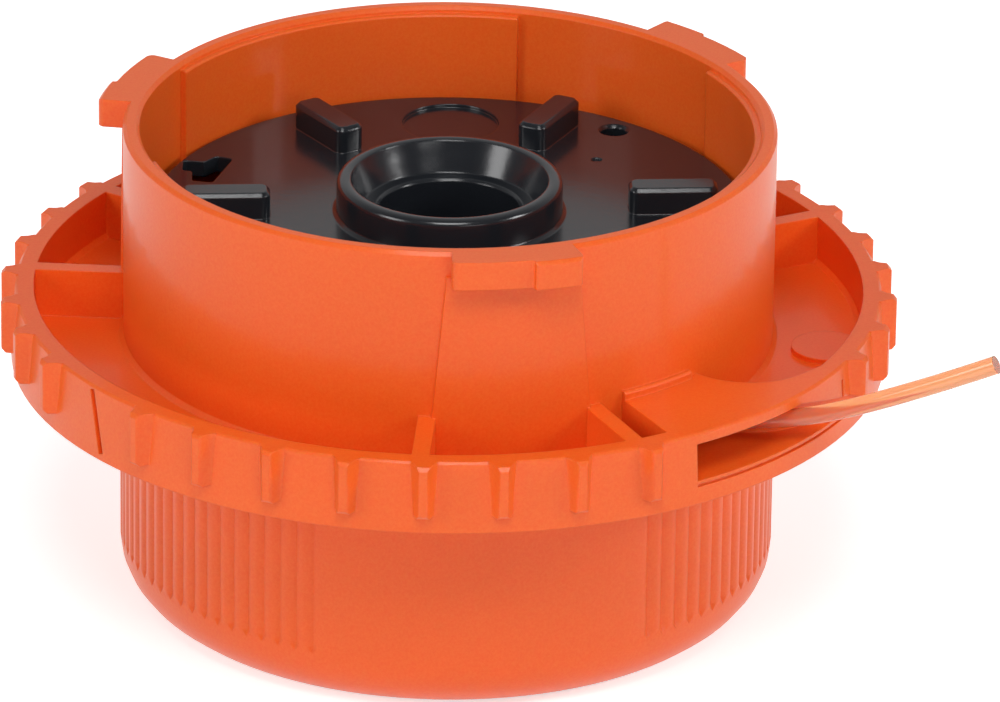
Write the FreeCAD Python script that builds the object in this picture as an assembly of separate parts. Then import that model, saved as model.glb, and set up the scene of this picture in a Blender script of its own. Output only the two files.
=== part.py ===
import FreeCAD, Part
import math
import os

# Line cassette of a string trimmer, in millimetres.
# The axis is +Z, and z = 0 is the underside of the cup, on which the part stands.
# Azimuths are in degrees, counterclockwise from +X, and the front of the part is at -90.

Vector = FreeCAD.Vector
ORIGIN = Vector(0, 0, 0)
UP = Vector(0, 0, 1)

# Collar and cup of the housing
rim_z = 54.4
collar_outer_r = 35.6
collar_wall = 1.8
cup_step = 0.4
cup_edge_round = 6.0
cup_floor = 2.0
rim_chamfer = 0.4

# Azimuth of the turned shell's seam, clear of every nub, rib, lug and flute
seam_az = 62.5

# Tray and grip ring round the collar
ring_top_z = 35.5
ring_outer_r = 47.4
ring_wall = 2.0
ring_height = 8.0
ring_draft = 0.5
ring_edge_chamfer = 0.25
tray_depth = 5.5
tray_floor = 2.0
tray_corner_chamfer = 0.5

# Grip nubs on the ring
nub_count = 36
nub_first_az = -92.85
nub_proud = 1.7
nub_foot_width = 2.9
nub_top_width = 1.1
nub_height = 6.0
nub_end_chamfer = 0.4

# Slanted mould mark that takes the place of one nub
mark_az = -141.9
mark_lean = 1.3
mark_width = 0.75
mark_depth = 0.35
mark_end_gap = 0.3

# Upright grip flutes in the cup, in three groups
flute_groups = 3
flutes_per_group = 19
flute_first_az = -52.4
flute_pitch = 3.28
flute_width = 1.3
flute_depth = 0.35
flute_point = 0.8
flute_tip_gap = 0.15

# Bayonet lugs at the rim, each with a stop at its far end
lug_count = 3
lug_first_az = -89.5
lug_span = 21.2
lug_stop_span = 8.0
lug_proud = 2.6
lug_stop_proud = 3.4
lug_height = 3.2
lug_round = 0.8
lug_top_chamfer = 0.35

# Thick places on the collar: a flared pad under each lug, and long pads inside
outer_pad_proud = 0.55
outer_pad_turn = 10.7
outer_pad_top_width = 14.4
outer_pad_foot_width = 18.2
inner_pad_proud = 0.7
inner_pad_first_az = 77.2
inner_pad_span = 74.6
inner_pad_top_drop = 0.75
inner_pad_low_z = 7.0

# Radial ribs in the tray, one on each side of each outer pad
rib_width = 1.9
rib_spread = 14.65

# Guide block and line duct, and the window through which the line leaves
block_left_az = -58.4
block_left_heading = -61.5
duct_side_wall = 1.6
guide_foot_az = -41.36
guide_round_share = 0.801
guide_wall = 1.1
duct_roof = 1.2
duct_height = 4.2
window_left_az = -56.0
window_full_az = -37.0
window_tip_az = -26.5
window_tip_drop = 2.4
sill_groove = 0.35
sill_groove_drop = 0.35
slit_width = 0.4
slit_height = 2.0
block_bead_proud = 0.6
block_bead_height = 0.9
block_bead_span = 14.8
block_bead_chamfer = 0.25

# Ejector boss on the floor of the right-hand tray pocket
boss_az = -6.48
boss_centre_share = 0.619
boss_round_share = 0.398
boss_height = 0.6

# Spigot on the cup floor, on which the spool turns
spigot_r = 6.15
spigot_bore_r = 4.3
spigot_height = 10.0
spigot_chamfer = 0.6

# Spool
spool_side_gap = 0.4
spool_seat_gap = 0.3
bearing_gap = 0.05
shoulder_gap = 1.0
spool_foot = 17.9
spool_tube_wall = 1.8
flange_thickness = 1.8
flange_edge_chamfer = 0.3
winding_bay = 20.2
barrel_wall = 1.6
barrel_step = 2.25
drive_bore_r = 7.7
hub_collar_r = 12.35
hub_collar_height = 4.0
hub_lip_r = 10.7
hub_lip_round = 0.75
hub_root_chamfer = 0.4
drive_bore_chamfer = 0.3
hub_ledge_height = 0.6
hub_ledge_r = 9.3

# Drive dogs on the top flange
dog_count = 6
dog_first_az = 3.5
dog_edge_gap = 3.4
dog_length = 9.7
dog_width = 3.4
dog_height = 3.0
dog_end_round = 1.0
dog_top_chamfer = 0.4

# Marks and openings in the top flange
disc_recess_r = 5.4
disc_recess_az = 90.0
disc_recess_edge_gap = 7.7
disc_recess_depth = 0.4
pin_hole_r = 1.4
pin_hole_az = 52.2
pin_hole_edge_gap = 3.0
pin_hole_chamfer = 0.35
anchor_az = 157.5
anchor_edge_gap = 3.2
anchor_corner_round = 0.45
ejector_mark_r = 0.6
ejector_mark_az = 42.6
ejector_mark_edge_gap = 10.7
ejector_mark_depth = 0.2

# Line
line_d = 2.0
line_layers = 4
winding_gap = 0.1

# Sizes that follow from the ones above
inner_r = collar_outer_r - collar_wall
cup_outer_r = collar_outer_r + cup_step
ring_inner_r = ring_outer_r - ring_wall
tray_width = ring_inner_r - collar_outer_r
guide_round = guide_round_share * tray_width
boss_r = boss_round_share * tray_width
boss_centre_r = collar_outer_r + boss_centre_share * tray_width
ring_low_z = ring_top_z - ring_height
tray_z = ring_top_z - tray_depth
tray_under_z = tray_z - tray_floor
inner_pad_r = inner_r - inner_pad_proud
duct_top_z = ring_top_z - duct_roof
duct_low_z = duct_top_z - duct_height
lug_low_z = rim_z - lug_height
spool_low_z = cup_floor + spool_seat_gap
bay_low_z = spool_low_z + spool_foot + flange_thickness
bay_top_z = bay_low_z + winding_bay
flange_top_z = bay_top_z + flange_thickness
flange_r = inner_pad_r - spool_side_gap
bearing_bore_r = spigot_r + bearing_gap
shoulder_z = cup_floor + spigot_height + shoulder_gap
barrel_r = hub_collar_r + barrel_step
winding_r = barrel_r + winding_gap + line_layers * line_d

# How far a joined piece reaches into the wall that carries it
BITE = 0.6


def polar(radius, azimuth, z=0.0):
    """Point at a radius and an azimuth about the axis."""
    angle = math.radians(azimuth)
    return Vector(radius * math.cos(angle), radius * math.sin(angle), z)


def upright(u, v):
    """Place a profile point: u is the radius and v the height."""
    return Vector(u, 0, v)


def level(u, v):
    """Place a plan point at z = 0."""
    return Vector(u, v, 0)


def outline(corners, place):
    """Closed wire through (u, v, size) corners: a radius above zero, or a chamfer's leg below zero."""
    spans = []
    for index, (u, v, size) in enumerate(corners):
        here = Vector(u, v, 0)
        back = Vector(*corners[index - 1][:2], 0).sub(here).normalize()
        ahead = Vector(*corners[(index + 1) % len(corners)][:2], 0).sub(here).normalize()
        if size > 0:
            half = back.getAngle(ahead) / 2
            centre = here + (back + ahead).normalize() * (size / math.sin(half))
            middle = centre + (here - centre).normalize() * size
            reach = size / math.tan(half)
            spans.append((here + back * reach, middle, here + ahead * reach))
        else:
            spans.append((here - back * size, None, here - ahead * size))
    edges = []
    for index, (start, middle, end) in enumerate(spans):
        if middle:
            edges.append(Part.Arc(place(*start[:2]), place(*middle[:2]), place(*end[:2])).toShape())
        elif start.distanceToPoint(end) > 1e-6:
            edges.append(Part.LineSegment(place(*start[:2]), place(*end[:2])).toShape())
        following = spans[(index + 1) % len(spans)][0]
        if end.distanceToPoint(following) > 1e-6:
            edges.append(Part.LineSegment(place(*end[:2]), place(*following[:2])).toShape())
    return Part.Wire(edges)


def eased(u, v, radius, start, turns):
    """Corners of a quarter round about (u, v) from a start angle, as a few flat turns to keep facets few."""
    angles = [math.radians(start + 90 * step / turns) for step in range(turns + 1)]
    return [(u + radius * math.cos(angle), v + radius * math.sin(angle), 0) for angle in angles]


def turned(corners, sweep=360.0):
    """Solid turned about the axis from a profile of (radius, height, size) corners."""
    return Part.Face(outline(corners, upright)).revolve(ORIGIN, UP, sweep)


def sector(r_in, r_out, z_low, z_top, az_from, az_to):
    """Piece of a round wall between two radii, two heights and two azimuths."""
    section = [(r_in, z_low, 0), (r_out, z_low, 0), (r_out, z_top, 0), (r_in, z_top, 0)]
    piece = turned(section, az_to - az_from)
    piece.rotate(ORIGIN, UP, az_from)
    return piece


def around(solid, azimuths):
    """Copies of a solid turned to each azimuth."""
    copies = []
    for azimuth in azimuths:
        turn = solid.copy()
        turn.rotate(ORIGIN, UP, azimuth)
        copies.append(turn)
    return copies


def rounded(solid, radius, picks):
    """Fillet the edges for which picks(edge) is true."""
    return solid.makeFillet(radius, [edge for edge in solid.Edges if picks(edge)])


def is_upright(edge):
    """True for a straight edge that runs along Z."""
    ends = edge.Vertexes
    level_shift = math.hypot(ends[0].X - ends[-1].X, ends[0].Y - ends[-1].Y)
    return len(ends) == 2 and level_shift < 1e-6


def near(edge, places):
    """True for an upright edge that stands at one of the places."""
    middle = edge.BoundBox.Center
    return any(math.hypot(middle.x - place.x, middle.y - place.y) < 0.05 for place in places)


def radius_of(edge):
    """Distance from the axis to the middle of an edge's box."""
    middle = edge.BoundBox.Center
    return math.hypot(middle.x, middle.y)


def housing_shell():
    """Cup, collar, tray and grip ring, turned as one wall, with the spigot on the floor."""
    spigot_top_z = cup_floor + spigot_height
    cup_edge = eased(cup_outer_r - cup_edge_round, cup_edge_round, cup_edge_round, -90, 6)
    shell = turned([(0, 0, 0)] + cup_edge + [
        (cup_outer_r, tray_under_z, 0),
        (ring_inner_r + ring_wall / 4, tray_under_z, 0),
        (ring_inner_r + ring_wall / 4, ring_low_z, 0),
        (ring_outer_r + ring_draft, ring_low_z, 0),
        (ring_outer_r, ring_top_z, -ring_edge_chamfer),
        (ring_inner_r, ring_top_z, 0),
        (ring_inner_r, tray_z, -tray_corner_chamfer),
        (collar_outer_r, tray_z, -tray_corner_chamfer),
        (collar_outer_r, rim_z, -rim_chamfer),
        (inner_r, rim_z, -rim_chamfer),
        (inner_r, cup_floor, -cup_edge_round / 2),
        (spigot_r, cup_floor, 0),
        (spigot_r, spigot_top_z, -spigot_chamfer),
        (spigot_bore_r, spigot_top_z, 0),
        (spigot_bore_r, cup_floor, 0),
        (0, cup_floor, 0),
    ])
    shell.rotate(ORIGIN, UP, seam_az)
    return shell


def grip_nubs():
    """Upright nubs round the ring, left out at the window and at the slanted mark."""
    nub_r = ring_outer_r + nub_proud
    low_z = ring_top_z - nub_height
    foot = nub_foot_width / 2
    top = nub_top_width / 2
    flank = foot - top
    side = [
        (ring_outer_r - BITE, foot),
        (ring_outer_r, foot),
        (ring_outer_r + nub_proud * 0.3, top + flank * 0.5),
        (nub_r - nub_proud * 0.2, top + flank * 0.15),
        (nub_r, top - flank * 0.15),
    ]
    corners = side + [(u, -v) for u, v in reversed(side)]
    plan = Part.makePolygon([Vector(u, v, low_z) for u, v in corners + corners[:1]])
    prism = Part.Face(plan).extrude(UP * nub_height)
    side_view = outline([(ring_outer_r - 2 * BITE, low_z, 0), (nub_r, low_z, -nub_end_chamfer),
                         (nub_r, ring_top_z, -nub_end_chamfer), (ring_outer_r - 2 * BITE, ring_top_z, 0)],
                        upright)
    limit = Part.Face(side_view).extrude(Vector(0, 2 * nub_foot_width, 0))
    limit.translate(Vector(0, -nub_foot_width, 0))
    nub = prism.common(limit)
    pitch = 360 / nub_count
    azimuths = []
    for index in range(nub_count):
        azimuth = (nub_first_az + index * pitch + 180) % 360 - 180
        in_window = window_left_az < azimuth < window_tip_az
        at_mark = abs(azimuth - mark_az) < pitch / 2
        if not in_window and not at_mark:
            azimuths.append(azimuth)
    return around(nub, azimuths)


def bayonet_lugs():
    """Lugs flush with the rim, which lock the housing into the trimmer head."""
    stop_r = collar_outer_r + lug_stop_proud
    grip = sector(collar_outer_r - BITE, collar_outer_r + lug_proud, lug_low_z, rim_z, 0, lug_span)
    stop = sector(collar_outer_r - BITE, stop_r, lug_low_z, rim_z,
                  lug_span - lug_stop_span, lug_span)
    lug = grip.fuse(stop).removeSplitter()
    ends = [polar(collar_outer_r + lug_proud, 0), polar(stop_r, lug_span)]
    lug = rounded(lug, lug_round, lambda edge: is_upright(edge) and near(edge, ends))
    step = [polar(collar_outer_r + proud, lug_span - lug_stop_span) for proud in (lug_proud, lug_stop_proud)]
    step_round = (lug_stop_proud - lug_proud) * 0.4
    lug = rounded(lug, step_round, lambda edge: is_upright(edge) and near(edge, step))
    bevel = turned([(inner_r, lug_low_z, 0), (stop_r, lug_low_z, 0), (stop_r, rim_z, -lug_top_chamfer),
                    (inner_r, rim_z, 0)], lug_span + 20)
    bevel.rotate(ORIGIN, UP, -10)
    lug = lug.common(bevel)
    return around(lug, [lug_first_az + index * 360 / lug_count for index in range(lug_count)])


def outer_pads():
    """Flared pads on the collar under the lugs, with their feet in the tray."""
    pad_r = collar_outer_r + outer_pad_proud
    foot = outer_pad_foot_width / 2
    top = outer_pad_top_width / 2
    flare = Part.makePolygon([
        Vector(0, -foot, tray_z - BITE), Vector(0, foot, tray_z - BITE),
        Vector(0, top, lug_low_z + BITE), Vector(0, -top, lug_low_z + BITE),
        Vector(0, -foot, tray_z - BITE)])
    prism = Part.Face(flare).extrude(Vector(pad_r * 2, 0, 0))
    wall = turned([(collar_outer_r - BITE, tray_z - BITE, 0), (pad_r, tray_z - BITE, 0),
                   (pad_r, lug_low_z + BITE, 0), (collar_outer_r - BITE, lug_low_z + BITE, 0)])
    pad = wall.common(prism)
    first = lug_first_az + outer_pad_turn
    return around(pad, [first + index * 360 / lug_count for index in range(lug_count)])


def inner_pads():
    """Long pads inside the collar, which centre the spool's flanges."""
    top_z = rim_z - inner_pad_top_drop
    chamfer = inner_pad_proud / 4
    pad = turned([(inner_pad_r, inner_pad_low_z, 0), (inner_r + BITE, inner_pad_low_z, 0),
                  (inner_r + BITE, top_z, 0), (inner_pad_r + chamfer, top_z, 0),
                  (inner_pad_r, top_z - chamfer, 0)], inner_pad_span)
    return around(pad, [inner_pad_first_az + index * 360 / lug_count for index in range(lug_count)])


def tray_ribs():
    """Radial ribs between the collar and the ring, flush with the ring's top."""
    length = ring_inner_r - collar_outer_r + 2 * BITE
    rib = Part.makeBox(length, rib_width, ring_top_z - tray_z + BITE,
                       Vector(collar_outer_r - BITE, -rib_width / 2, tray_z - BITE))
    azimuths = []
    for index in range(lug_count):
        middle = lug_first_az + outer_pad_turn + index * 360 / lug_count
        azimuths += [middle - rib_spread, middle + rib_spread]
    return around(rib, azimuths)


def guide_arc(radius, z):
    """The guide curve's quarter circle, from the ring's side to the collar's side."""
    centre = polar(collar_outer_r, guide_foot_az, z) + polar(guide_round, 45)
    return [centre + polar(radius, azimuth) for azimuth in (-45, -90, -135)]


def beyond(start, azimuth, radius):
    """Point where a level line from start at an azimuth reaches a radius from the axis."""
    heading = polar(1, azimuth)
    along = start.x * heading.x + start.y * heading.y
    off = start.x ** 2 + start.y ** 2 - along ** 2
    return start + heading * (math.sqrt(radius ** 2 - off) - along)


def bridge(start, end, radius):
    """Arc about the axis between two points that lie at that radius."""
    middle_az = math.degrees(math.atan2(start.y + end.y, start.x + end.x))
    return Part.Arc(start, polar(radius, middle_az, start.z), end).toShape()


def guide_block():
    """Solid over the duct: straight on its left, and a curved wall on its right."""
    low_z = tray_z - BITE
    ring_r = ring_inner_r + BITE
    collar_r = collar_outer_r - BITE
    foot = polar(collar_outer_r, block_left_az, low_z)
    left_in = beyond(foot, block_left_heading, collar_r)
    left_out = beyond(foot, block_left_heading, ring_r)
    ring_side, middle, collar_side = guide_arc(guide_round, low_z)
    right_out = beyond(ring_side, 45, ring_r)
    right_in = beyond(collar_side, -45, collar_r)
    edges = [
        Part.LineSegment(left_in, left_out).toShape(),
        bridge(left_out, right_out, ring_r),
        Part.LineSegment(right_out, ring_side).toShape(),
        Part.Arc(ring_side, middle, collar_side).toShape(),
        Part.LineSegment(collar_side, right_in).toShape(),
        bridge(right_in, left_in, collar_r),
    ]
    block = Part.Face(Part.Wire(edges)).extrude(UP * (ring_top_z - low_z))
    bead_r = collar_outer_r + block_bead_proud
    bead_z = ring_top_z + block_bead_height
    bead = turned([(collar_r, ring_top_z - BITE, 0), (bead_r, ring_top_z - BITE, 0),
                   (bead_r, bead_z, -block_bead_chamfer), (collar_r, bead_z, 0)], block_bead_span)
    bead.rotate(ORIGIN, UP, block_left_az)
    return [block, bead]


def line_duct():
    """Space for the line, from inside the collar out through the window in the ring."""
    past_r = ring_outer_r + nub_proud + 1
    inside_r = inner_pad_r - 1
    foot = polar(collar_outer_r, block_left_az, duct_low_z)
    left_foot = foot + polar(duct_side_wall, block_left_heading + 90)
    left_window = polar(ring_outer_r, window_left_az, duct_low_z)
    left_heading = math.degrees(math.atan2(left_window.y - left_foot.y, left_window.x - left_foot.x))
    left_in = beyond(left_foot, left_heading, inside_r)
    left_out = beyond(left_foot, left_heading, past_r)
    ring_side, middle, collar_side = guide_arc(guide_round + guide_wall, duct_low_z)
    right_out = beyond(ring_side, 45, past_r)
    right_in = beyond(collar_side, -45, inside_r)
    edges = [
        Part.LineSegment(left_in, left_out).toShape(),
        bridge(left_out, right_out, past_r),
        Part.LineSegment(right_out, ring_side).toShape(),
        Part.Arc(ring_side, middle, collar_side).toShape(),
        Part.LineSegment(collar_side, right_in).toShape(),
        bridge(right_in, left_in, inside_r),
    ]
    duct = Part.Face(Part.Wire(edges)).extrude(UP * duct_height)
    run = ring_outer_r * math.radians(window_tip_az - window_full_az)
    slope = math.degrees(math.atan2(window_tip_drop, run))
    lid = Part.makeBox(4 * run, 4 * run, duct_height, Vector(0, -2 * run, 0))
    lid.rotate(ORIGIN, Vector(0, 1, 0), slope)
    lid.rotate(ORIGIN, UP, (window_full_az + window_tip_az) / 2 + 90)
    lid.translate(polar(ring_outer_r, window_full_az, duct_top_z))
    return duct.cut(lid)


def window_marks():
    """Groove under the window's sill and the short slit past its tip."""
    sill_z = duct_low_z - sill_groove_drop
    sill_r = ring_outer_r + ring_draft * (ring_top_z - sill_z) / ring_height
    groove = sector(sill_r - sill_groove, sill_r + 1, sill_z - sill_groove, sill_z,
                    window_left_az, window_tip_az)
    slit_top_z = duct_top_z - slit_width
    slit = Part.makeBox(sill_groove + 1, slit_width, slit_height,
                        Vector(ring_outer_r - sill_groove, -slit_width / 2, slit_top_z - slit_height))
    slit.rotate(ORIGIN, UP, window_tip_az)
    mark_length = ring_height - 3 * mark_end_gap
    mark = Part.makeBox(mark_depth + 1, mark_width, mark_length,
                        Vector(ring_outer_r - mark_depth, -mark_width / 2, -mark_length / 2))
    lean = math.degrees(math.atan2(ring_outer_r * math.radians(2 * mark_lean), mark_length))
    mark.rotate(ORIGIN, Vector(1, 0, 0), lean)
    mark.translate(UP * (ring_top_z - mark_end_gap - mark_length / 2))
    mark.rotate(ORIGIN, UP, mark_az)
    return [groove, slit, mark]


def cup_flutes():
    """Cutters for the shallow upright V flutes, pointed at their lower ends."""
    low_z = cup_edge_round + flute_tip_gap
    top_z = tray_under_z - BITE / 2
    outside_r = cup_outer_r + flute_depth
    valley, left, right = [
        (cup_outer_r - flute_depth, 0), (outside_r, flute_width), (outside_r, -flute_width)]
    low = [Vector(x, y, low_z + flute_point) for x, y in (valley, left, right)]
    top = [Vector(x, y, top_z) for x, y in (valley, left, right)]
    tip = Vector(outside_r, 0, low_z - flute_point)
    loops = [top]
    for index in range(3):
        beside = (index + 1) % 3
        loops.append([low[index], low[beside], top[beside], top[index]])
        loops.append([low[index], low[beside], tip])
    faces = [Part.Face(Part.makePolygon(loop + loop[:1])) for loop in loops]
    cutter = Part.makeSolid(Part.makeShell(faces))
    azimuths = []
    for group in range(flute_groups):
        first = flute_first_az + group * 360 / flute_groups
        azimuths += [first + index * flute_pitch for index in range(flutes_per_group)]
    return around(cutter, azimuths)


def make_housing():
    """The one-piece moulded housing."""
    boss = Part.makeCylinder(boss_r, boss_height + BITE, polar(boss_centre_r, boss_az, tray_z - BITE))
    added = grip_nubs() + bayonet_lugs() + outer_pads() + inner_pads() + tray_ribs() + guide_block()
    body = housing_shell().fuse(added + [boss]).removeSplitter()
    return body.cut([line_duct()] + window_marks() + cup_flutes())


def spool_body():
    """Hub tube, barrel and both flanges, turned as one wall."""
    tube_r = bearing_bore_r + spool_tube_wall
    hub_tube_r = drive_bore_r + spool_tube_wall
    foot_top_z = bay_low_z - flange_thickness
    lip_top_z = flange_top_z + hub_collar_height
    lip_low_z = lip_top_z - hub_lip_round
    lip = eased(hub_collar_r - hub_lip_round, lip_low_z, hub_lip_round, 0, 3)
    lip_inner_round = hub_lip_round / 2
    lip += eased(hub_lip_r + lip_inner_round, lip_top_z - lip_inner_round, lip_inner_round, 90, 2)
    ledge_z = flange_top_z + hub_ledge_height
    return turned([
        (bearing_bore_r, spool_low_z, 0),
        (tube_r, spool_low_z, 0),
        (tube_r, shoulder_z, 0),
        (hub_tube_r, shoulder_z + hub_tube_r - tube_r, 0),
        (hub_tube_r, bay_top_z, 0),
        (barrel_r - barrel_wall, bay_top_z, 0),
        (barrel_r - barrel_wall, foot_top_z, 0),
        (flange_r, foot_top_z, 0),
        (flange_r, bay_low_z, 0),
        (barrel_r, bay_low_z, 0),
        (barrel_r, bay_top_z, 0),
        (flange_r, bay_top_z, 0),
        (flange_r, flange_top_z, -flange_edge_chamfer),
        (hub_collar_r, flange_top_z, -hub_root_chamfer),
    ] + lip + [
        (hub_ledge_r, ledge_z, 0),
        (drive_bore_r, ledge_z, -drive_bore_chamfer),
        (drive_bore_r, shoulder_z, 0),
        (bearing_bore_r, shoulder_z, 0),
    ])


def drive_dogs():
    """Six radial dogs that the trimmer head turns the spool by."""
    inner_end = flange_r - dog_edge_gap - dog_length
    dog = Part.makeBox(dog_length, dog_width, dog_height + BITE,
                       Vector(inner_end, -dog_width / 2, flange_top_z - BITE))
    dog = rounded(dog, dog_end_round, is_upright)
    top_z = flange_top_z + dog_height
    dog = dog.makeChamfer(dog_top_chamfer, [edge for edge in dog.Edges if edge.BoundBox.ZMin > top_z - 0.01])
    return around(dog, [dog_first_az + index * 360 / dog_count for index in range(dog_count)])


def line_anchor(through):
    """Cutter for the keyhole that holds the line's inner end: a tapered body with a short arm."""
    corners = [(1.5, 3.3), (3.3, 2.6), (1.2, -4.1), (-1.1, -3.6), (-1.1, -0.9), (-2.2, -0.8), (-2.2, 2.1), (0.2, 1.7)]
    anchor = Part.Face(outline([(x, y, anchor_corner_round) for x, y in corners], level))
    return anchor.extrude(UP * through)


def flange_openings():
    """Cutters for the disc recess, the pin hole, the line anchor and the ejector mark."""
    low_z = bay_top_z - 1
    through = flange_thickness + 2
    recess = Part.makeCylinder(disc_recess_r, disc_recess_depth + 1,
                               polar(flange_r - disc_recess_edge_gap, disc_recess_az,
                                     flange_top_z - disc_recess_depth))
    hole = Part.makeCylinder(pin_hole_r, through, polar(flange_r - pin_hole_edge_gap, pin_hole_az, low_z))
    mouth = Part.makeCone(pin_hole_r, pin_hole_r + 2 * pin_hole_chamfer, 2 * pin_hole_chamfer,
                          polar(flange_r - pin_hole_edge_gap, pin_hole_az, flange_top_z - pin_hole_chamfer))
    anchor = line_anchor(through)
    anchor.translate(polar(flange_r - anchor_edge_gap, anchor_az, low_z))
    mark = Part.makeCylinder(ejector_mark_r, ejector_mark_depth + 1,
                             polar(flange_r - ejector_mark_edge_gap, ejector_mark_az,
                                   flange_top_z - ejector_mark_depth))
    return [recess, hole, mouth, anchor, mark]


def make_spool():
    """The one-piece moulded spool."""
    return spool_body().fuse(drive_dogs()).cut(flange_openings()).removeSplitter()


def make_winding():
    """The wound line as one plain solid of its outer shape."""
    low_z = bay_low_z + winding_gap
    top_z = bay_top_z - winding_gap
    inner = barrel_r + winding_gap
    return turned([(inner, low_z, 0), (winding_r, low_z, -line_d / 3),
                   (winding_r, top_z, -line_d / 3), (inner, top_z, 0)])


# Route of the free end of the line: off the winding, through the duct and out of the window
tail_route = [
    Vector(-1.5, -23.95, duct_low_z + 1.8),
    Vector(17.2, -24.5, duct_low_z + 1.5),
    Vector(34.0, -28.7, duct_low_z + 1.8),
    Vector(46.0, -29.5, duct_low_z + 5.3),
    Vector(58.1, -30.2, duct_low_z + 9.8),
]


def make_tail():
    """Round tube along the route, with a tangent arc at each inner point."""
    edges = []
    start = tail_route[0]
    length = 0
    for index in range(1, len(tail_route) - 1):
        here = tail_route[index]
        back = tail_route[index - 1] - here
        ahead = tail_route[index + 1] - here
        half_turn = (math.pi - back.getAngle(ahead)) / 2
        reach = 0.45 * min(back.Length, ahead.Length)
        radius = reach / math.tan(half_turn)
        print("tail arc at point", index, "radius", round(radius, 1))
        back.normalize()
        ahead.normalize()
        centre = here + (back + ahead).normalize() * (radius / math.cos(half_turn))
        middle = centre + (here - centre).normalize() * radius
        arc = Part.Arc(here + back * reach, middle, here + ahead * reach).toShape()
        edges += [Part.LineSegment(start, here + back * reach).toShape(), arc]
        start = here + ahead * reach
    edges.append(Part.LineSegment(start, tail_route[-1]).toShape())
    path = Part.Wire(edges)
    length = path.Length
    heading = (tail_route[1] - tail_route[0]).normalize()
    section = Part.Wire(Part.makeCircle(line_d / 2, tail_route[0], heading))
    tube = path.makePipeShell([section], True, False)
    expected = math.pi * (line_d / 2) ** 2 * length
    print("tail length", round(length, 2), "volume ratio", round(tube.Volume / expected, 4))
    return tube


def export(name, shape):
    """Write one node's solid and print its state."""
    shape.exportStep("parts/" + name + ".step")
    box = shape.BoundBox
    print(name, "solids", len(shape.Solids), "valid", shape.isValid(), "volume", round(shape.Volume, 1),
          "box", round(box.XMin, 2), round(box.XMax, 2), round(box.YMin, 2), round(box.YMax, 2),
          round(box.ZMin, 2), round(box.ZMax, 2))


os.makedirs("parts", exist_ok=True)
export("housing", make_housing())
export("spool", make_spool())
export("line_winding", make_winding())
export("line_tail", make_tail())
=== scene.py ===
# %% [markdown]
# A line cassette for a string trimmer, dressed for its portrait.
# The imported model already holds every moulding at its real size, so this lesson starts by loading it.
# What is left to Blender is the finish: two plastics, the wound and the free line, the light and the camera.

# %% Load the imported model
import math

import bmesh
import bpy
from mathutils import Euler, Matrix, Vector


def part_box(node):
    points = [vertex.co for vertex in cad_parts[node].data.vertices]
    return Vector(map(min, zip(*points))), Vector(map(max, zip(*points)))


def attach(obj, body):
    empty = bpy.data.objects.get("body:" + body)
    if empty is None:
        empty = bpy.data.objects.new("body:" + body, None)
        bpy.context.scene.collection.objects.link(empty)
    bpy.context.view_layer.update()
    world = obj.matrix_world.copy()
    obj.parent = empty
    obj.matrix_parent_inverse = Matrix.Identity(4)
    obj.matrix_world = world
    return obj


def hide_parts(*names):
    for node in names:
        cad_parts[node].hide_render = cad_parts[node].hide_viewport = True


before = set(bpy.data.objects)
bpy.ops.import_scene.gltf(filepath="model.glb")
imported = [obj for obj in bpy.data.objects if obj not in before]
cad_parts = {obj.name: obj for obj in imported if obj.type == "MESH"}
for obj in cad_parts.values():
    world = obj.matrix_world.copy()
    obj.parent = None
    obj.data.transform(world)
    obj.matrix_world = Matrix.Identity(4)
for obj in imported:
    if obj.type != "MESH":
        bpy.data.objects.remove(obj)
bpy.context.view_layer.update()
mm = 0.001
print("nodes", sorted(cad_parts))

# %% [markdown]
# Blender keeps a thing's data, such as a mesh, a curve, a lamp or a camera, apart from the object that
# stands in the scene. Every step below makes such data first and then an object for it.
# One helper does the second half, and leaves the object at the origin.

# %% Helper for objects
def add_object(name, data):
    """Object for some data, linked into the scene."""
    made = bpy.data.objects.new(name, data)
    bpy.context.scene.collection.objects.link(made)
    return made


print("add_object ready")

# %% [markdown]
# The picture was taken with a long lens from well above the table. Upright lines stay upright in it,
# and the far side of the ring is nearly as wide as the near side.
# A camera could be placed by its own coordinates, but the point it looks at, its heading, its height
# angle and a small tilt say the same in numbers that can be adjusted one at a time.

# %% Camera
AIM = Vector((5.74, 0.85, 26.99)) * mm
CAMERA_DISTANCE = 1.0990
CAMERA_HEADING = math.radians(89.672)
CAMERA_ELEVATION = math.radians(23.989)
CAMERA_TILT = math.radians(0.798)
LENS_MM = 359.95
SENSOR_MM = 36.0

heading = Vector((
    math.cos(CAMERA_HEADING) * math.cos(CAMERA_ELEVATION),
    math.sin(CAMERA_HEADING) * math.cos(CAMERA_ELEVATION),
    -math.sin(CAMERA_ELEVATION)))
camera_data = bpy.data.cameras.new("camera")
camera_data.lens = LENS_MM
camera_data.sensor_width = SENSOR_MM
camera_data.clip_start = 0.05
camera_data.clip_end = 20.0
camera = add_object("camera", camera_data)
camera.rotation_mode = "QUATERNION"
camera.location = AIM - heading * CAMERA_DISTANCE
tilt = Euler((0, 0, CAMERA_TILT)).to_quaternion()
camera.rotation_quaternion = heading.to_track_quat("-Z", "Y") @ tilt
bpy.context.scene.camera = camera
print("camera at", [round(x, 4) for x in camera.location])

# %% [markdown]
# The trimmer line comes next, because it is a free cord and its route is shared with the CAD model.
# It is stiff nylon, 2 mm thick. It leaves the winding, crosses the duct under the tray and springs up
# and a little forward out of the window.
# A swept mesh would need many rings to bend smoothly. A NURBS curve with the route's points as its
# control points is smooth by itself, and its round bevel gives the thickness, which each point's
# radius carries.

# %% Route of the free end
LINE_D = 2.0 * mm
TAIL_ROUTE_MM = [
    (-1.5, -23.95, 31.9),
    (17.2, -24.5, 31.6),
    (34.0, -28.4, 31.8),
    (46.3, -29.9, 35.1),
    (58.3, -33.4, 41.3),
]


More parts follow.
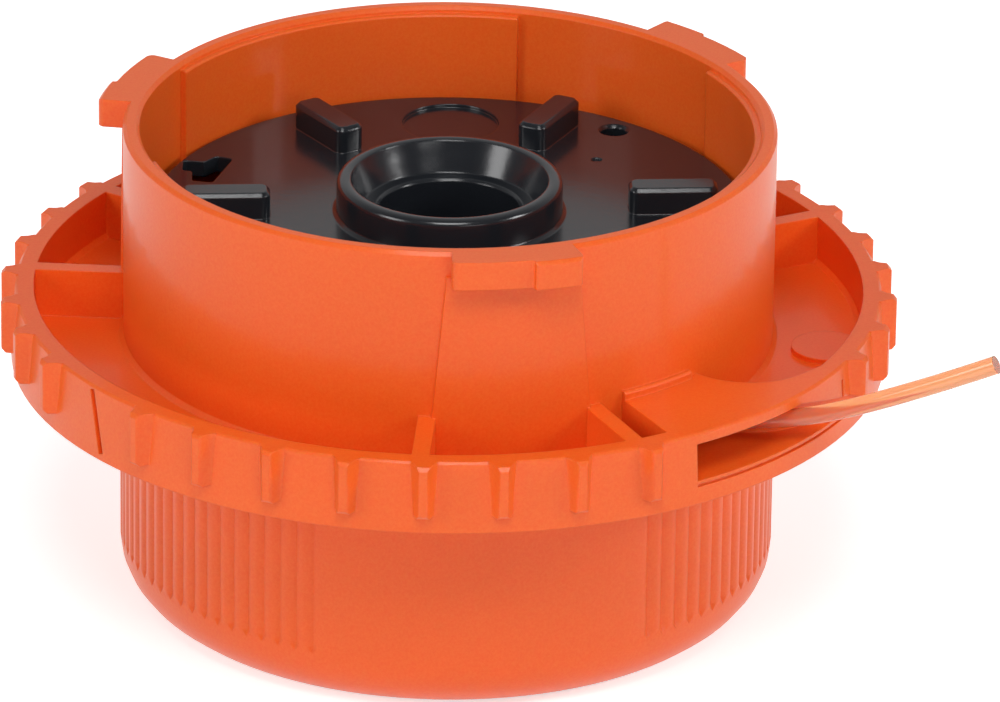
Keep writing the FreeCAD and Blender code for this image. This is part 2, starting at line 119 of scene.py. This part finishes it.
def cord_curve(name, route_mm, diameter):
    """Smooth round cord along a route of control points."""
    curve = bpy.data.curves.new(name, "CURVE")
    curve.dimensions = "3D"
    curve.resolution_u = 24
    curve.bevel_depth = 1.0
    curve.bevel_resolution = 8
    curve.use_fill_caps = True
    spline = curve.splines.new("NURBS")
    spline.points.add(len(route_mm) - 1)
    for point, place in zip(spline.points, route_mm):
        point.co = (*(Vector(place) * mm), 1.0)
        point.radius = diameter / 2
    spline.order_u = 3
    spline.use_endpoint_u = True
    return add_object(name, curve)


tail = cord_curve("line_end", TAIL_ROUTE_MM, LINE_D)
print("line_end has", len(TAIL_ROUTE_MM), "control points")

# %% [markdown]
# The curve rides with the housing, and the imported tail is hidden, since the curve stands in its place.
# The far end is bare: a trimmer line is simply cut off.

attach(tail, "housing")
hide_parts("line_tail")

# %% [markdown]
# A material is a small tree of nodes, and the Principled shader in it has a socket for each property
# of a surface. A finish is then a short list of sockets and values, which one helper sets.

# %% Helpers for materials
def new_material(name):
    """Material with its tree and its Principled shader."""
    material = bpy.data.materials.new(name)
    material.use_nodes = True
    tree = material.node_tree
    return material, tree, tree.nodes["Principled BSDF"]


def set_sockets(node, values):
    """Give a node's input sockets their values by name."""
    for name, value in values.items():
        node.inputs[name].default_value = value


print("material helpers ready")

# %% [markdown]
# No moulded surface is perfectly smooth or has perfectly sharp edges. A noise pattern gives the skin its
# grain, and the Bevel node rounds the edges in the shading alone.
# The patterns read Object coordinates, and because each object sits at the origin these are metres in
# the part's own frame. A scale of 1000 is therefore one cell of the pattern per millimetre.

# %% Helpers for a moulded skin
BEVEL_SAMPLES = 8


def noise(tree, scale, detail, roughness=0.5):
    """Noise texture at a scale in cells per metre."""
    place = tree.nodes.new("ShaderNodeTexCoord")
    texture = tree.nodes.new("ShaderNodeTexNoise")
    set_sockets(texture, {"Scale": scale, "Detail": detail, "Roughness": roughness})
    tree.links.new(place.outputs["Object"], texture.inputs["Vector"])
    return texture.outputs["Fac"]


def skin(tree, shader, grain, strength, depth, edge_radius):
    """Grain as bump over rounded edges, on the shader's normal."""
    soft_edge = tree.nodes.new("ShaderNodeBevel")
    soft_edge.samples = BEVEL_SAMPLES
    bump = tree.nodes.new("ShaderNodeBump")
    set_sockets(soft_edge, {"Radius": edge_radius})
    set_sockets(bump, {"Strength": strength, "Distance": depth})
    tree.links.new(grain, bump.inputs["Height"])
    tree.links.new(soft_edge.outputs["Normal"], bump.inputs["Normal"])
    tree.links.new(bump.outputs["Normal"], shader.inputs["Normal"])


print("skin helpers ready")

# %% [markdown]
# The housing is injection moulded in an orange plastic with a satin skin. Seen close, its colour is
# finely speckled, and each sharp edge is rounded a little and catches the light as a thin pale line.
# Real rounds on every edge would cost thousands of faces. The Bevel node bends only the shading normal,
# which is enough for a radius of a quarter of a millimetre.
# Light enters thin walls a millimetre or two and comes out redder, which a share of subsurface
# scattering shows, and a thin coat over the satin gives the narrow gloss on its edges.

# %% Orange housing plastic
ORANGE = (0.86, 0.109, 0.007, 1.0)
ORANGE_PALE = (0.88, 0.140, 0.015, 1.0)
HOUSING_FINISH = {
    "Roughness": 0.42,
    "IOR": 1.40,
    "Subsurface Weight": 0.25,
    "Subsurface Radius": (1.0, 0.20, 0.05),
    "Subsurface Scale": 1.6 * mm,
    "Coat Weight": 0.20,
    "Coat Roughness": 0.12,
}


def speckle(tree, dark, pale):
    """Colour that changes between two tones with a fine noise."""
    spread = tree.nodes.new("ShaderNodeMapRange")
    set_sockets(spread, {"From Min": 0.35, "From Max": 0.65})
    tree.links.new(noise(tree, scale=3200.0, detail=3.0, roughness=0.7), spread.inputs["Value"])
    colour = tree.nodes.new("ShaderNodeMix")
    colour.data_type = "RGBA"
    tone_a, tone_b = [socket for socket in colour.inputs if socket.type == "RGBA"]
    tone_a.default_value = dark
    tone_b.default_value = pale
    tree.links.new(spread.outputs["Result"], colour.inputs["Factor"])
    return next(socket for socket in colour.outputs if socket.type == "RGBA")


def housing_plastic():
    """Satin orange with a fine speckle."""
    material, tree, shader = new_material("housing_plastic")
    set_sockets(shader, HOUSING_FINISH)
    tree.links.new(speckle(tree, ORANGE, ORANGE_PALE), shader.inputs["Base Color"])
    grain = noise(tree, scale=2600.0, detail=2.0)
    skin(tree, shader, grain, strength=0.12, depth=0.05 * mm, edge_radius=0.22 * mm)
    return material


orange = housing_plastic()
print(orange.name, "colour", ORANGE[:3])

# %% [markdown]
# The spool is moulded in a black plastic with more gloss than the housing. Black plastic is never quite
# black: it shows mostly what it mirrors, grey light in front and the orange wall behind.
# So the base colour is a dark grey, and a low roughness leaves the picture to the room around it.

# %% Black spool plastic
SPOOL_FINISH = {
    "Base Color": (0.014, 0.016, 0.020, 1.0),
    "Roughness": 0.20,
    "IOR": 1.56,
}


def spool_plastic():
    """Glossy near-black with a slightly uneven skin."""
    material, tree, shader = new_material("spool_plastic")
    set_sockets(shader, SPOOL_FINISH)
    grain = noise(tree, scale=900.0, detail=3.0)
    skin(tree, shader, grain, strength=0.12, depth=0.1 * mm, edge_radius=0.3 * mm)
    return material


black = spool_plastic()
print(black.name, "roughness", SPOOL_FINISH["Roughness"])

# %% [markdown]
# Trimmer line is drawn nylon, dyed orange and left translucent. Against a white table it looks peach,
# and against the housing it nearly disappears, so it has to let light through.
# The dye sits in the whole thickness. So the surface stays pale and clear, and a volume that absorbs
# blue first makes the line deeper in colour where it is thicker. Half of what the clear share leaves
# scatters light like milk, as nylon does.

# %% Translucent line
LINE_FINISH = {
    "Base Color": (0.91, 0.54, 0.31, 1.0),
    "Transmission Weight": 0.78,
    "Roughness": 0.08,
    "Subsurface Weight": 0.5,
    "Subsurface Radius": (1.0, 0.4, 0.2),
    "Subsurface Scale": 1.0 * mm,
    "IOR": 1.53,
}
LINE_DYE = {
    "Color": (1.0, 0.60, 0.25, 1.0),
    "Density": 480.0,
}


def line_nylon():
    """Warm translucent nylon with faint drawing marks."""
    material, tree, shader = new_material("line_nylon")
    set_sockets(shader, LINE_FINISH)
    grain = noise(tree, scale=1200.0, detail=2.0)
    skin(tree, shader, grain, strength=0.06, depth=0.05 * mm, edge_radius=0.12 * mm)
    dye = tree.nodes.new("ShaderNodeVolumeAbsorption")
    set_sockets(dye, LINE_DYE)
    tree.links.new(dye.outputs["Volume"], tree.nodes["Material Output"].inputs["Volume"])
    return material


nylon = line_nylon()
tail.data.materials.append(nylon)
print(nylon.name, "on line_end")

# %% [markdown]
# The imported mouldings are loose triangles, which shade as flat facets. Their own meshes stay as they are.
# A copy with its doubled corners merged can be shaded smooth, and only edges sharper than a set angle
# stay sharp. The same body carries the copy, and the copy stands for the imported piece.

# %% Smooth copies of the mouldings
SHARP_ANGLE = math.radians(34)
MERGE_DISTANCE = 0.002 * mm


def smooth_copy(node, name, material):
    """Merged, smooth-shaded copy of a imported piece."""
    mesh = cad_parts[node].data.copy()
    mesh.name = name
    form = bmesh.new()
    form.from_mesh(mesh)
    bmesh.ops.remove_doubles(form, verts=form.verts, dist=MERGE_DISTANCE)
    for face in form.faces:
        face.smooth = True
    for edge in form.edges:
        edge.smooth = edge.calc_face_angle(0.0) < SHARP_ANGLE
    form.to_mesh(mesh)
    form.free()
    mesh.materials.clear()
    mesh.materials.append(material)
    piece = add_object(name, mesh)
    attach(piece, node)
    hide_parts(node)
    print(name, len(mesh.polygons), "triangles")


smooth_copy("housing", "housing_moulding", orange)
smooth_copy("spool", "spool_moulding", black)

# %% [markdown]
# Some values in a tree are worked out from others, such as a radius from a diameter. The Math node does
# this, and it is the same node in Geometry Nodes, in a material and in the world.
# A helper that takes sockets or plain numbers keeps such a sum on one line.

# %% Helper for sums in a tree
def math_node(tree, operation, first, second):
    """Output of a Math node on two sockets or plain numbers."""
    node = tree.nodes.new("ShaderNodeMath")
    node.operation = operation
    for socket, value in zip(node.inputs, (first, second)):
        if isinstance(value, bpy.types.NodeSocket):
            tree.links.new(value, socket)
        else:
            socket.default_value = value
    return node.outputs["Value"]


print("math_node ready")

# %% [markdown]
# The line is wound on the barrel in four layers, and each layer is a helix of constant radius.
# Geometry Nodes suit this, because one tree serves every layer and its inputs are the sizes that a
# winder would set. The first cell names those inputs.

# %% Inputs of the winding tree
def winding_tree():
    """Empty tree with the sizes of one wound layer as named inputs."""
    tree = bpy.data.node_groups.new("wound_layer", "GeometryNodeTree")
    tree.interface.new_socket("Geometry", in_out="OUTPUT", socket_type="NodeSocketGeometry")
    for name in ("Radius", "Turns", "Height", "Low Z", "Line Diameter"):
        tree.interface.new_socket(name, in_out="INPUT", socket_type="NodeSocketFloat")
    tree.interface.new_socket("Material", in_out="INPUT", socket_type="NodeSocketMaterial")
    return tree


wound_layer = winding_tree()
print("tree inputs", [item.name for item in wound_layer.interface.items_tree if item.in_out == "INPUT"])

# %% [markdown]
# Inside the tree, a Spiral curve with equal start and end radius is the helix, a circle is the line's
# round section, and Curve to Mesh sweeps one along the other.
# The sweep is lifted to its place, shaded smooth, made real and given its material.

# %% Nodes of the winding tree
STEPS_PER_TURN = 40
SECTION_SIDES = 10


def fill_winding_tree(tree):
    """Sweep a round section along a helix, from the tree's inputs."""
    given = tree.nodes.new("NodeGroupInput").outputs
    spiral = tree.nodes.new("GeometryNodeCurveSpiral")
    section = tree.nodes.new("GeometryNodeCurvePrimitiveCircle")
    sweep = tree.nodes.new("GeometryNodeCurveToMesh")
    lift = tree.nodes.new("ShaderNodeCombineXYZ")
    move = tree.nodes.new("GeometryNodeTransform")
    smooth = tree.nodes.new("GeometryNodeSetShadeSmooth")
    real = tree.nodes.new("GeometryNodeRealizeInstances")
    paint = tree.nodes.new("GeometryNodeSetMaterial")
    result = tree.nodes.new("NodeGroupOutput")
    set_sockets(spiral, {"Resolution": STEPS_PER_TURN})
    set_sockets(section, {"Resolution": SECTION_SIDES})
    set_sockets(sweep, {"Fill Caps": True})
    for source, target in (
            (given["Turns"], spiral.inputs["Rotations"]),
            (given["Radius"], spiral.inputs["Start Radius"]),
            (given["Radius"], spiral.inputs["End Radius"]),
            (given["Height"], spiral.inputs["Height"]),
            (math_node(tree, "MULTIPLY", given["Line Diameter"], 0.5), section.inputs["Radius"]),
            (spiral.outputs["Curve"], sweep.inputs["Curve"]),
            (section.outputs["Curve"], sweep.inputs["Profile Curve"]),
            (given["Low Z"], lift.inputs["Z"]),
            (sweep.outputs["Mesh"], move.inputs["Geometry"]),
            (lift.outputs["Vector"], move.inputs["Translation"]),
            (move.outputs["Geometry"], smooth.inputs["Geometry"]),
            (smooth.outputs["Geometry"], real.inputs["Geometry"]),
            (real.outputs["Geometry"], paint.inputs["Geometry"]),
            (given["Material"], paint.inputs["Material"]),
            (paint.outputs["Geometry"], result.inputs["Geometry"])):
        tree.links.new(source, target)


fill_winding_tree(wound_layer)
print("tree has", len(wound_layer.nodes), "nodes")

# %% [markdown]
# A modifier's inputs are set by the identifier of each socket, before the object is first evaluated.
# The evaluated result becomes a plain mesh, and the object that carried the modifier is thrown away.

# %% Plain mesh from a tree
def plain_mesh(name, tree, values):
    """Mesh that a Geometry Nodes tree makes from its named input values."""
    host = add_object(name, bpy.data.meshes.new(name))
    modifier = host.modifiers.new(name, "NODES")
    modifier.node_group = tree
    for item in tree.interface.items_tree:
        if item.in_out == "INPUT":
            modifier[item.identifier] = values[item.name]
    evaluated = host.evaluated_get(bpy.context.evaluated_depsgraph_get())
    mesh = bpy.data.meshes.new_from_object(evaluated)
    bpy.data.objects.remove(host)
    return mesh


print("plain_mesh ready")

# %% [markdown]
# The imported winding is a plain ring, and its box gives the room that the turns must fill.
# Ten lines lie side by side in each layer, which takes nine full turns from the first to the last.
# The layers nest a line's thickness apart, from the outside inwards, and are joined to one piece
# that turns with the spool.

# %% Wind the layers
LAYERS = 4
LINES_ACROSS = 10
TURNS = LINES_ACROSS - 1.0

winding_low, winding_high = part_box("line_winding")
form = bmesh.new()
for layer in range(LAYERS):
    form.from_mesh(plain_mesh("layer", wound_layer, {
        "Radius": winding_high[0] - LINE_D * (layer + 0.5),
        "Turns": TURNS,
        "Height": winding_high[2] - winding_low[2] - LINE_D,
        "Low Z": winding_low[2] + LINE_D / 2,
        "Line Diameter": LINE_D,
        "Material": nylon}))
bmesh.ops.recalc_face_normals(form, faces=form.faces)
turns_mesh = bpy.data.meshes.new("line_turns")
form.to_mesh(turns_mesh)
form.free()
turns_mesh.materials.append(nylon)
line_turns = add_object("line_turns", turns_mesh)
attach(line_turns, "spool")
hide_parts("line_winding")
print("line_turns", LAYERS, "layers of", TURNS, "turns,", len(turns_mesh.polygons), "faces")

# %% [markdown]
# The part stands on a plain pale floor. More lamp light would make the floor white but wash out the
# part too, so the floor glows a little for the camera, for reflections and through the line only.
# It still takes the part's shadow.

# %% Material of the floor
WHITE = (1.0, 1.0, 1.0, 1.0)
FLOOR_GLOW = 0.60
FLOOR_FINISH = {
    "Base Color": (0.90, 0.90, 0.90, 1.0),
    "Roughness": 0.9,
    "Specular IOR Level": 0.1,
    "Emission Color": WHITE,
}


def floor_material():
    """Matt near-white that glows for camera, glossy and transmitted rays."""
    material, tree, shader = new_material("pale_floor")
    set_sockets(shader, FLOOR_FINISH)
    ray = tree.nodes.new("ShaderNodeLightPath").outputs
    mirrored = math_node(tree, "MAXIMUM", ray["Is Camera Ray"], ray["Is Glossy Ray"])
    seen = math_node(tree, "MAXIMUM", mirrored, ray["Is Transmission Ray"])
    tree.links.new(math_node(tree, "MULTIPLY", seen, FLOOR_GLOW), shader.inputs["Emission Strength"])
    return material


pale = floor_material()
print(pale.name, "glows at", FLOOR_GLOW)

# %% [markdown]
# The floor itself is one large square, far wider than any view of the part.

# %% Floor
FLOOR_HALF = 3.0
floor_mesh = bpy.data.meshes.new("floor")
corners = [(x * FLOOR_HALF, y * FLOOR_HALF, 0) for x, y in ((-1, -1), (1, -1), (1, 1), (-1, 1))]
floor_mesh.from_pydata(corners, [], [(0, 1, 2, 3)])
floor_mesh.materials.append(pale)
add_object("floor", floor_mesh)
print("floor", 2 * FLOOR_HALF, "m wide")

# %% [markdown]
# A satin part needs a soft light on each side, which draws the pale bands down the edges of the collar,
# and a lamp above and in front that reaches the bottom of the collar and the tray.
# The right lamp is the smallest, so the ribs cast a soft edged shadow, as they do in the picture.
# A fourth lamp stands low in front. It lights the cup below the ring's overhang, and the window.

# %% Lamps
LAMP_TARGET = Vector((0, 0, 0.03))


def soft_box(name, place, width, height, watts):
    """Area lamp that faces the part."""
    lamp = bpy.data.lights.new(name, "AREA")
    lamp.shape = "RECTANGLE"
    lamp.size = width
    lamp.size_y = height
    lamp.energy = watts
    box = add_object(name, lamp)
    box.location = place
    box.rotation_mode = "QUATERNION"
    box.rotation_quaternion = (LAMP_TARGET - Vector(place)).to_track_quat("-Z", "Y")
    print(name, watts, "W")


soft_box("left_box", place=(-0.80, -0.42, 0.42), width=0.35, height=0.50, watts=3.1)
soft_box("right_box", place=(0.86, -0.22, 0.50), width=0.22, height=0.22, watts=2.7)
soft_box("top_box", place=(0.00, -0.54, 0.83), width=0.40, height=0.40, watts=4.0)
soft_box("front_box", place=(0.42, -0.92, 0.24), width=0.40, height=0.40, watts=1.9)

# %% [markdown]
# The room is brighter behind the part, where the white sweep of a studio stands, and dimmer on the
# camera's side. Glossy black shows this at once, because it mirrors the room and has little colour.
# A gradient along one direction of the world is enough for that. Only light that has passed through
# the clear line sees a white room on every side, as it would between the white walls of a studio.

# %% Room
RISE_FROM = -0.2
RISE_TO = 1.0


def room(front, back):
    """World that is even in front, brighter to the back and white through the line."""
    world = bpy.data.worlds.new("room")
    world.use_nodes = True
    tree = world.node_tree
    place = tree.nodes.new("ShaderNodeTexCoord")
    split = tree.nodes.new("ShaderNodeSeparateXYZ")
    rise = tree.nodes.new("ShaderNodeMapRange")
    ray = tree.nodes.new("ShaderNodeLightPath").outputs
    background = tree.nodes["Background"]
    set_sockets(rise, {"From Min": RISE_FROM, "From Max": RISE_TO, "To Min": front, "To Max": back})
    set_sockets(background, {"Color": WHITE})
    tree.links.new(place.outputs["Generated"], split.inputs["Vector"])
    tree.links.new(split.outputs["Y"], rise.inputs["Value"])
    level = math_node(tree, "MAXIMUM", ray["Is Transmission Ray"], rise.outputs["Result"])
    tree.links.new(level, background.inputs["Strength"])
    return world


bpy.context.scene.world = room(front=0.08, back=0.60)
bpy.context.scene.view_settings.view_transform = "Standard"
print("world", bpy.context.scene.world.name)
